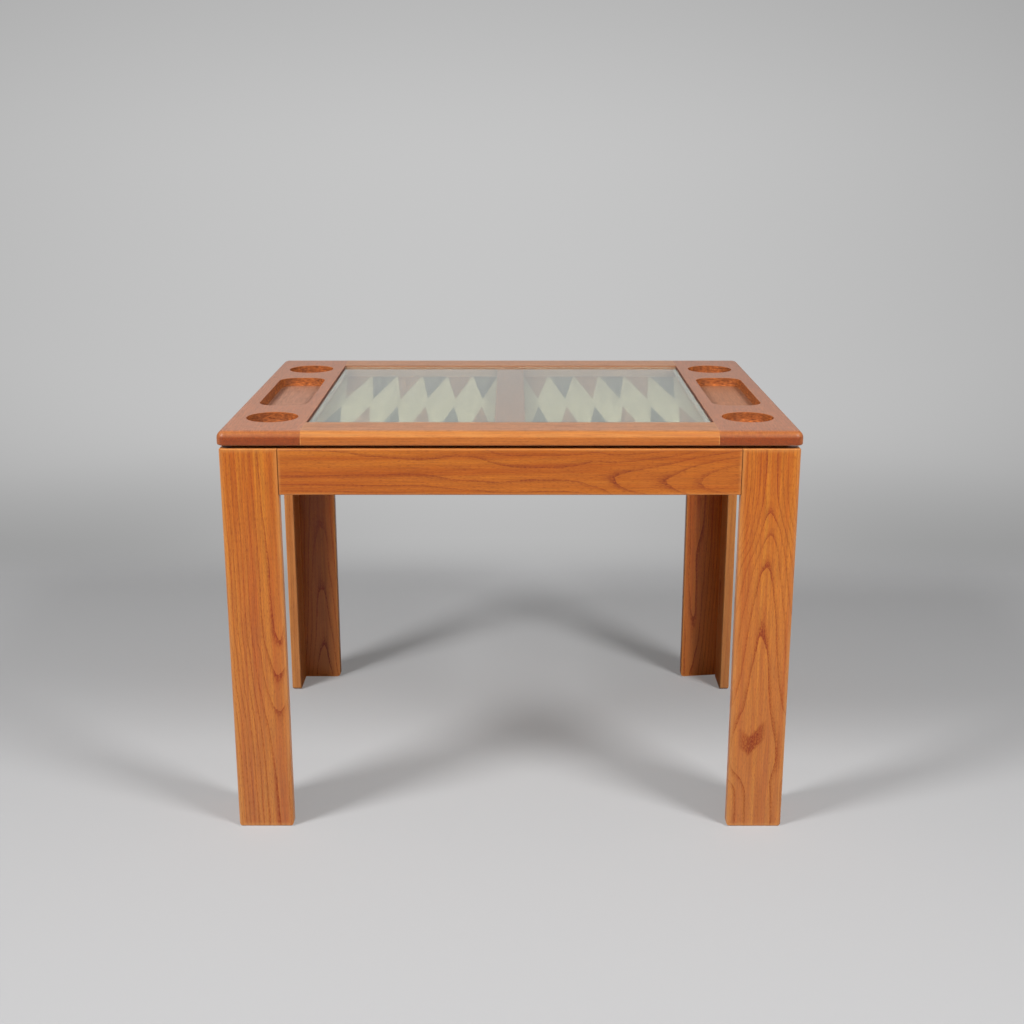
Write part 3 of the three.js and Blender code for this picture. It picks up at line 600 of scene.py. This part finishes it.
def teakMaterial(node, board):
    board = {**usualBoard, **teakTones[board["tone"]], **board}
    material, tree = newMaterial("lacqueredTeak_" + node)
    grain, middle, half, cut, up, rounded = grainPlace(tree, node, board["way"])
    parts = addNode(tree, "ShaderNodeSeparateXYZ", links={0: grain}).outputs
    links = {
        "Grain": grain, "Middle": middle, "Half": half, "End Grain": cut, "Facing Up": up,
        "Rounded": addNode(tree, "ShaderNodeMath", {"operation": "MULTIPLY"}, {0: rounded, 1: board["roundSheen"]}),
        "Wear Sheen Reach": board["wearSheenReach"],
    }
    for label in ("depth", "spacing", "wander", "ripple", "seed", "figure"):
        links[label.capitalize()] = board[label]
    for label in ("axis", "count", "crowding"):
        links[label.capitalize()] = valueAlong(tree, parts["Z"], board[label])
    for label in ("light", "deep", "line", "end", "wornsheen", "lyingsheen"):
        links[label.capitalize()] = linearColour(board[label])
    if "patch" in board:
        links["Patch"] = flamePatch(tree, parts, board["patch"])
    if "hollows" in board:
        inside, links["Recess"], bed = insideHollows(tree, board["hollows"])
        # a tray's bed gets a painted reflection colour of its own, as it mirrors less of the pale studio than the top
        # does
        links["Lyingsheen"] = addNode(tree, "ShaderNodeMix", {"data_type": "RGBA"}, {
            "Factor": bed, 6: links["Lyingsheen"], 7: linearColour(board["hollows"]["bed"])}).outputs[2]
        links["Hollow Shade"] = hollowShade(tree, board["hollows"])
        links["Hollow Deep"] = linearColour(board["hollows"]["deep"])
        links["Hollow Pale"] = linearColour(board["hollows"]["pale"])
    surface = addNode(tree, "ShaderNodeGroup", {"node_tree": teakGroup}, links).outputs
    shade = surface["Color"]
    if "rebateShade" in board:
        shade = shadedRebate(tree, shade, board["rebateShade"])
    if "joint" in board:
        shade = jointLine(tree, shade, parts["Z"], middle[2], half[2], board["joint"])
    if "floorLight" in board:
        shade = floorLitFoot(tree, shade, parts["Z"], surface["Year Line"], board["floorLight"])
    bump = addNode(tree, "ShaderNodeBump", links={
        "Strength": lacquer["bump"], "Distance": lacquer["bumpDepth"], "Height": surface["Height"]})
    # the lacquer lies thick on the faces that were level when it was brushed on, and thin on the others
    coat = addNode(tree, "ShaderNodeMapRange", links={
        "Value": up, "To Min": board["coat"] * lacquer["thinCoat"], "To Max": board["coat"]})
    rough = addNode(tree, "ShaderNodeMath", {"operation": "MULTIPLY_ADD"},
                    {0: rounded, 1: lacquer["roundRoughness"], 2: surface["Roughness"]})
    if "hollows" in board:  # the brush hardly reaches into a hollow
        rough = addNode(tree, "ShaderNodeMath", {"operation": "MULTIPLY_ADD"},
                        {0: inside, 1: lacquer["hollowRoughness"], 2: rough})
        dry = addNode(tree, "ShaderNodeMath", {"operation": "ADD"}, {0: inside, 1: links["Recess"]})
        dry = addNode(tree, "ShaderNodeMath", {"operation": "MULTIPLY_ADD"},
                      {0: dry, 1: -lacquer["hollowCoatLoss"], 2: 1.0})
        coat = addNode(tree, "ShaderNodeMath", {"operation": "MULTIPLY"}, {0: coat, 1: dry})
    shader = addNode(tree, "ShaderNodeBsdfPrincipled", links={
        "Base Color": shade, "Roughness": rough, "Normal": bump, "IOR": lacquer["ior"], "Coat Weight": coat,
        "Coat Roughness": lacquer["coatRoughness"], "Coat IOR": lacquer["coatIor"]})
    addNode(tree, "ShaderNodeOutputMaterial", links={0: shader})
    return material


# Painted shade on the walls of the rebate and of the well: heights, and how far from the table's middle, in metres
panelRebateShade = [
    {"axis": "X", "within": 0.3562, "above": 0.7322, "below": 0.7388, "colour": "74483c"},
    {"axis": "X", "within": 0.3559, "above": 0.70, "below": 0.7322, "colour": "978b7f"},
]
railRebateShade = [
    {"axis": "Y", "within": 0.2972, "above": 0.7322, "below": 0.7402, "colour": "956648"},
    {"axis": "Y", "within": 0.2969, "above": 0.70, "below": 0.7322, "colour": "7c6352"},
]
# The hollows: the height of the rim and how far they reach along X and Y, and the same for the bed of a tray
leftHollows = {
    "rim": 0.7396, "reach": (0.475, 0.305), "trayReach": 0.16, "trayBed": 0.7243,
    "warmX": (0.447, 0.466), "warmY": (0.115, 0.143), "warmth": 0.4,  # the bed takes the hollows' colour along two sides, a painted shade and bounced light at the walls' feet
    # bed is the painted reflection colour of the trays' beds; deep and pale are the hollows' blotches
    "deep": "6c3008", "pale": "bb6a2e", "bed": "b98e78",
    "shade": ((-0.467, 0.88), (-0.385, 1.16)),  # painted shade: how light they are at two places along X
}
rightHollows = {**leftHollows, "shade": ((0.377, 0.98), (0.467, 1.1)), "bed": "b58263"}
glueLine = {"starts": 1.12, "full": 0.42, "strength": 0.8, "colour": "4a2410"}  # millimetres from the end
# Painted light from the pale floor: a greyer reflection low on the front and side leg boards, and a brighter bounce
# low on the back face boards
floorReflection = {"height": 640, "share": 0.17, "lineKeeps": 1.3, "colour": "c09b79"}
floorBounce = {"height": 420, "share": 0.48, "lineKeeps": 1.3, "colour": "e2904e"}

# Every teak board: the way it lies, its tone, and the figure of its show face in millimetres
# of the table: where the heart of the tree runs under the face, and how the years count along it.
# Figure is how much of the lines shows, the coat is that of its finish, and the wear is that of its edges, with a
# painted highlight.
usualBoard = {"count": 0.0, "crowding": 1.0, "depth": 60.0, "spacing": 6.0, "wander": 8.0, "ripple": 0.3,
              "figure": 0.85, "roundSheen": 1.0, "wearSheenReach": 6.5, "coat": 0.25}
legBoard = {"tone": "leg", "floorLight": floorReflection}
backBoard = {**legBoard, "way": "legBack", "floorLight": floorBounce, "wander": 16}
apronBoard = {"tone": "apron", "joint": glueLine}
railBoard = {"way": "topAlongX", "tone": "rail", "rebateShade": railRebateShade, "coat": 0.45, "roundSheen": 0.5,
             "wearSheenReach": 1.2, "figure": 0.45, "wander": 14}
panelBoard = {"way": "topAlongY", "tone": "panel", "rebateShade": panelRebateShade, "coat": 0.45, "roundSheen": 0.3,
              "wearSheenReach": 1.2, "spacing": 4.2, "figure": 0.5, "wander": 20}
boards = {
    # The front face boards' wider reach of 10 mm widens the band of wear and painted highlight along their edges.
    "front_left_leg_face_board": {
        **legBoard, "way": "legFront", "wearSheenReach": 10, "seed": 1, "depth": 50, "wander": 3,
        "axis": [(0, -412), (230, -413), (300, -411), (400, -408), (710, -410)],
        "count": [(0, 3.93), (100, 3.80), (140, 3.70), (200, 3.35), (230, 3.0), (297, 2.0), (345, 1.35),
                  (368, 1.0), (410, 0.87), (500, 0.80), (560, 0.63), (600, 0.45), (710, 0.34)],
    },
    "front_right_leg_face_board": {
        **legBoard, "way": "legFront", "wearSheenReach": 10, "seed": 2, "depth": 20, "wander": 2, "ripple": 0.25,
        "axis": [(0, 453), (60, 451), (95, 445), (150, 438), (200, 439), (235, 442), (300, 444), (367, 445),
                 (494, 447), (554, 451), (596, 449), (710, 447)],
        "count": [(0, -0.66), (150, -0.64), (200, -0.6), (270, -0.47), (300, -0.4), (367, 0.0), (400, 0.2),
                  (430, 0.4), (462, 0.68), (494, 1.0), (554, 2.0), (596, 3.0), (630, 3.55), (660, 3.7),
                  (710, 3.72)],
        "crowding": [(0, 0.40), (70, 0.40), (100, 0.26), (129, 0.16), (150, 0.16), (200, 0.21), (239, 0.33),
                     (270, 0.40), (310, 0.48), (400, 0.5), (430, 0.55), (494, 0.62), (554, 0.88), (596, 0.98),
                     (710, 1.0)],
        "patch": {"across": 431, "along": 160, "slope": 1.0, "tilt": 0.15, "thick": (11.0, 25.3),
                  "middle": 5.5, "wide": (15.4, 28), "strength": 0.8},
    },
    "front_apron": {
        **apronBoard, "way": "apronFront", "seed": 3, "depth": 62, "spacing": 6.5, "wander": 3, "ripple": 0.25,
        "axis": [(-395, 684), (-300, 683), (-240, 679), (-160, 677), (-75, 675), (-50, 673), (0, 666),
                 (100, 667), (140, 666), (184, 656), (230, 653), (395, 654)],
        "count": [(-395, 3.5), (-300, 3.58), (-240, 3.79), (-160, 3.9), (-75, 3.55), (-50, 3.6), (0, 3.88),
                  (60, 3.93), (100, 3.88), (140, 3.55), (170, 3.25), (184, 3.0), (230, 2.5), (276, 2.0),
                  (310, 1.4), (333, 1.0), (395, 0.2)],
    },
    # the rails' and the left panel's own colours for faces that lie flat are painted reflections too
    "front_rail": {**railBoard, "lyingsheen": "bb7e4b", "seed": 4, "axis": -330, "depth": 90, "spacing": 4.5},
    "back_rail": {**railBoard, "lyingsheen": "c08350", "seed": 5, "axis": 300, "depth": 110, "spacing": 5.0},
    "left_end_panel": {**panelBoard, "lyingsheen": "bb764e", "hollows": leftHollows, "seed": 6, "axis": -560,
                       "depth": 70},
    "right_end_panel": {**panelBoard, "hollows": rightHollows, "seed": 7, "axis": 575, "depth": 80},
    "centre_bar": {"way": "topAlongY", "tone": "bar", "seed": 8, "axis": 60, "spacing": 5.0, "figure": 0.4},
    "front_left_leg_side_board": {**legBoard, "way": "legLeft", "seed": 11, "axis": -300,
                                  "count": [(0, 0), (300, 1.0), (710, 3.0)]},
    "front_right_leg_side_board": {**legBoard, "way": "legRight", "seed": 12, "axis": -330,
                                   "count": [(0, 2), (400, 1.0), (710, 0.0)]},
    # this board's colours are darker than the other leg boards', a painted shade for the shadow it stands in
    "back_left_leg_face_board": {**backBoard, "light": "b8691f", "deep": "974610", "seed": 13, "axis": -430,
                                 "count": [(0, 0), (250, 2.0), (520, 2.6), (710, 4.5)]},
    "back_right_leg_face_board": {**backBoard, "light": "cf7620", "deep": "ad480a", "seed": 14, "axis": 425,
                                  "count": [(0, 3), (350, 1.5), (710, 0.0)]},
    # The back side boards' wide reach of 18 mm paints their whole front edges with the highlight colour, where the
    # lamps light them; the left one's colour is lighter still.
    "back_left_leg_side_board": {**legBoard, "way": "legLeft", "wornsheen": "e89a50", "wearSheenReach": 18, "seed": 15,
                                 "axis": 290, "spacing": 5.0, "count": [(0, 0), (710, 2.5)]},
    "back_right_leg_side_board": {**legBoard, "way": "legRight", "wearSheenReach": 18, "seed": 16, "axis": 330,
                                  "spacing": 5.5, "count": [(0, 3), (400, 2.0), (710, 0.0)]},
    "back_apron": {**apronBoard, "way": "apronBack", "seed": 17, "axis": 655,
                   "count": [(-395, 0), (-120, 1.6), (120, 2.0), (395, 4.0)]},
    "left_apron": {**apronBoard, "way": "apronLeft", "seed": 18, "axis": 680,
                   "count": [(-275, 2.5), (-40, 1.0), (275, 0.0)]},
    "right_apron": {**apronBoard, "way": "apronRight", "seed": 19, "axis": 650,
                    "count": [(-275, 0), (40, 1.2), (275, 3.2)]},
}

print("teak boards")
for name, board in boards.items():
    dress(name, teakMaterial(name, board))


# Beech, plywood and veneers: close-grained woods, with short flecks in a plain colour

plainGrain = {
    "streakLength": 30,  # times the width of a streak
    "streaks": (0.35, 0.65), "flecks": (0.52, 0.7), "fleckMost": 0.55, "plyShare": 0.5,
    "roughnessSpread": 0.06, "bump": 0.3, "bumpDepth": 0.0001, "ior": 1.48,
}


def plainWood(name, node, way, wood):
    material, tree = newMaterial(name + "_" + node)
    grain = grainPlace(tree, node, way)[0]
    noise = {}
    for layer, wide, long, detail in (("fleck", wood["fleck"], wood["fleckLength"], 2.0),
                                      ("streak", wood["streak"], wood["streak"] * plainGrain["streakLength"], 3.0)):
        cells = addNode(tree, "ShaderNodeVectorMath", {"operation": "DIVIDE"}, {0: grain, 1: (wide, wide, long)})
        noise[layer] = addNode(tree, "ShaderNodeTexNoise", links={"Vector": cells, "Scale": 1.0, "Detail": detail})
    low, high = plainGrain["flecks"]
    flecked = addNode(tree, "ShaderNodeMapRange", links={
        "Value": noise["fleck"], "From Min": low, "From Max": high, "To Max": plainGrain["fleckMost"]})
    low, high = plainGrain["streaks"]
    streaked = addNode(tree, "ShaderNodeMapRange", links={
        "Value": noise["streak"], "From Min": low, "From Max": high})
    layers = [(streaked, wood["deep"])]
    if "plies" in wood:  # the layers of a plywood edge turn by turn show end grain and long grain
        depth = addNode(tree, "ShaderNodeSeparateXYZ", links={0: grain}).outputs["Y"]
        layer = addNode(tree, "ShaderNodeMath", {"operation": "DIVIDE"}, {0: depth, 1: wood["plies"] * 2})
        layer = addNode(tree, "ShaderNodeMath", {"operation": "FRACT"}, {0: layer})
        layer = addNode(tree, "ShaderNodeMath", {"operation": "GREATER_THAN"}, {0: layer, 1: 0.5})
        layer = addNode(tree, "ShaderNodeMath", {"operation": "MULTIPLY"}, {0: layer, 1: plainGrain["plyShare"]})
        layers.append((layer, wood["line"]))
    layers.append((flecked, wood["line"]))
    shade = linearColour(wood["light"])
    for share, colour in layers:
        shade = addNode(tree, "ShaderNodeMix", {"data_type": "RGBA"}, {
            "Factor": share, 6: shade, 7: linearColour(colour)}).outputs[2]
    if "rebateShade" in wood:
        shade = shadedRebate(tree, shade, wood["rebateShade"])
    rough = addNode(tree, "ShaderNodeMapRange", links={
        "Value": noise["fleck"], "To Min": wood["roughness"] - plainGrain["roughnessSpread"],
        "To Max": wood["roughness"] + plainGrain["roughnessSpread"]})
    bump = addNode(tree, "ShaderNodeBump", links={
        "Strength": plainGrain["bump"], "Distance": plainGrain["bumpDepth"], "Height": noise["fleck"]})
    shader = addNode(tree, "ShaderNodeBsdfPrincipled", links={
        "Base Color": shade, "Roughness": rough, "Normal": bump, "IOR": plainGrain["ior"]})
    addNode(tree, "ShaderNodeOutputMaterial", links={0: shader})
    return material


# Steamed beech, planed and unfinished: pale, matt, with short darker flecks. Sizes are millimetres
beech = {"light": "c79f6e", "deep": "b98d5d", "line": "9a7048", "roughness": 0.62,
         "fleck": 1.2, "fleckLength": 5, "streak": 9}
# Birch plywood with sanded faces: pale, with the layers showing at its edges
plywood = {"light": "cdae80", "deep": "bf9c6d", "line": "98744c", "roughness": 0.6,
           "fleck": 1.5, "fleckLength": 22, "streak": 22, "plies": 1.6,
           # the pocket's walls under the field take the same painted shade as the well's walls
           "rebateShade": [{"axis": "Y", "within": 0.33, "above": 0.7121, "below": 0.7152, "colour": "7c6352"}]}
# Sycamore veneer, sanded and sealed: a calm cream ground, hardly any grain
sycamore = {"light": "a5987f", "deep": "9b8f76", "line": "887d65", "roughness": 0.45,
            "fleck": 1.4, "fleckLength": 26, "streak": 16}
# Sycamore veneer dyed through: brown and grey points with the same quiet grain
dyedBrown = {"light": "82614b", "deep": "785843", "line": "634735", "roughness": 0.45,
             "fleck": 1.4, "fleckLength": 26, "streak": 12}
dyedGrey = {"light": "5d5b52", "deep": "55534b", "line": "45433c", "roughness": 0.45,
            "fleck": 1.4, "fleckLength": 26, "streak": 12}
pointsPerRow = 6

print("inner woods and playing board")
innerWoods = {}
for side in ("left", "right"):
    innerWoods[side + "_cleat"] = ("planedBeech", "topAlongY", beech)
    innerWoods[side + "_field"] = ("sycamoreVeneer", "topAlongY", sycamore)
    for row in ("front", "back"):
        innerWoods[f"{row}_{side}_corner_block"] = ("planedBeech", "topAlongX", beech)
        innerWoods[f"{row}_{side}_locating_dowel"] = ("turnedBeech", "legFront", beech)
        for place in range(pointsPerRow):
            brown = (place % 2 == 0) == (row == "back")
            name, wood = ("dyedBrownVeneer", dyedBrown) if brown else ("dyedGreyVeneer", dyedGrey)
            innerWoods[f"{side}_{row}_point_{place + 1}"] = (name, "topAlongY", wood)
for row in ("front", "back"):
    innerWoods[row + "_cleat"] = ("planedBeech", "topAlongX", beech)
innerWoods["board_panel"] = ("birchPlywood", "topAlongX", plywood)
for node, (name, way, wood) in innerWoods.items():
    dress(node, plainWood(name, node, way, wood))


# Float glass with ground edges: clear with a faint green cast, and it mirrors the studio at low angles
glassPane = {
    "body": "eef5f1", "passes": "f4faf7", "ior": 1.5, "hairGap": 0.0001,
    "wipesPerMetre": 9.0, "wiped": (0.4, 0.7), "haze": 0.03,  # wiping leaves soft marks about 110 mm wide
}
# The ground edge is matt and greyish, and reads as a pale line along the clear pane.
# Its grit is about 0.1 mm, and drawn 1 mm so that it shows
groundEdge = {"pale": "a5a094", "deep": "969186", "roughness": 0.7, "ior": 1.5, "gritPerMetre": 900.0,
              "upright": 0.9}


def glassMaterial():
    material, tree = newMaterial("floatGlass")
    place = addNode(tree, "ShaderNodeTexCoord")
    smear = addNode(tree, "ShaderNodeTexNoise", links={
        "Vector": place.outputs["Object"], "Scale": glassPane["wipesPerMetre"], "Detail": 4.0})
    low, high = glassPane["wiped"]
    haze = addNode(tree, "ShaderNodeMapRange", links={
        "Value": smear, "From Min": low, "From Max": high, "To Min": 0.0, "To Max": glassPane["haze"]})
    glass = addNode(tree, "ShaderNodeBsdfPrincipled", links={
        "Base Color": linearColour(glassPane["body"]), "Roughness": haze, "IOR": glassPane["ior"],
        "Transmission Weight": 1.0})
    clear = addNode(tree, "ShaderNodeBsdfTransparent", links={"Color": linearColour(glassPane["passes"])})
    path = addNode(tree, "ShaderNodeLightPath").outputs
    mix = addNode(tree, "ShaderNodeMixShader", links={0: path["Is Shadow Ray"], 1: glass, 2: clear})
    addNode(tree, "ShaderNodeOutputMaterial", links={0: mix})
    return material


def groundEdgeMaterial():
    material, tree = newMaterial("groundGlassEdge")
    place = addNode(tree, "ShaderNodeTexCoord")
    grit = addNode(tree, "ShaderNodeTexNoise", links={
        "Vector": place.outputs["Object"], "Scale": groundEdge["gritPerMetre"], "Detail": 2.0})
    shade = addNode(tree, "ShaderNodeMix", {"data_type": "RGBA"}, {
        "Factor": grit, 6: linearColour(groundEdge["pale"]), 7: linearColour(groundEdge["deep"])})
    shader = addNode(tree, "ShaderNodeBsdfPrincipled", links={
        "Base Color": shade.outputs[2], "Roughness": groundEdge["roughness"], "IOR": groundEdge["ior"]})
    addNode(tree, "ShaderNodeOutputMaterial", links={0: shader})
    return material


def makeEdgePicker():  # gives the upright faces of the pane its second material
    tree = newGroup("groundEdges", "GeometryNodeTree", shape, shape)
    start = addNode(tree, "NodeGroupInput")
    facing = addNode(tree, "GeometryNodeInputNormal")
    facing = addNode(tree, "ShaderNodeSeparateXYZ", links={0: facing}).outputs["Z"]
    flat = addNode(tree, "ShaderNodeMath", {"operation": "ABSOLUTE"}, {0: facing})
    upright = addNode(tree, "FunctionNodeCompare", {"data_type": "FLOAT", "operation": "LESS_THAN"},
                      {0: flat, 1: groundEdge["upright"]})
    picked = addNode(tree, "GeometryNodeSetMaterialIndex", links={
        "Geometry": start, "Selection": upright, "Material Index": 1})
    addNode(tree, "NodeGroupOutput", links={0: picked})
    return tree


print("glass")
dress("glass_pane", glassMaterial())
pane = nodes["glass_pane"]
pane.data.materials.append(groundEdgeMaterial())
pane.modifiers.new("oneSkin", "WELD").merge_threshold = smoothing["mergeDistance"]
pane.modifiers.new("groundEdges", "NODES").node_group = makeEdgePicker()
hair = pane.modifiers.new("hairGap", "DISPLACE")  # off the ledges that it lies on, so no faces meet
hair.strength = -glassPane["hairGap"]
hair.mid_level = 0
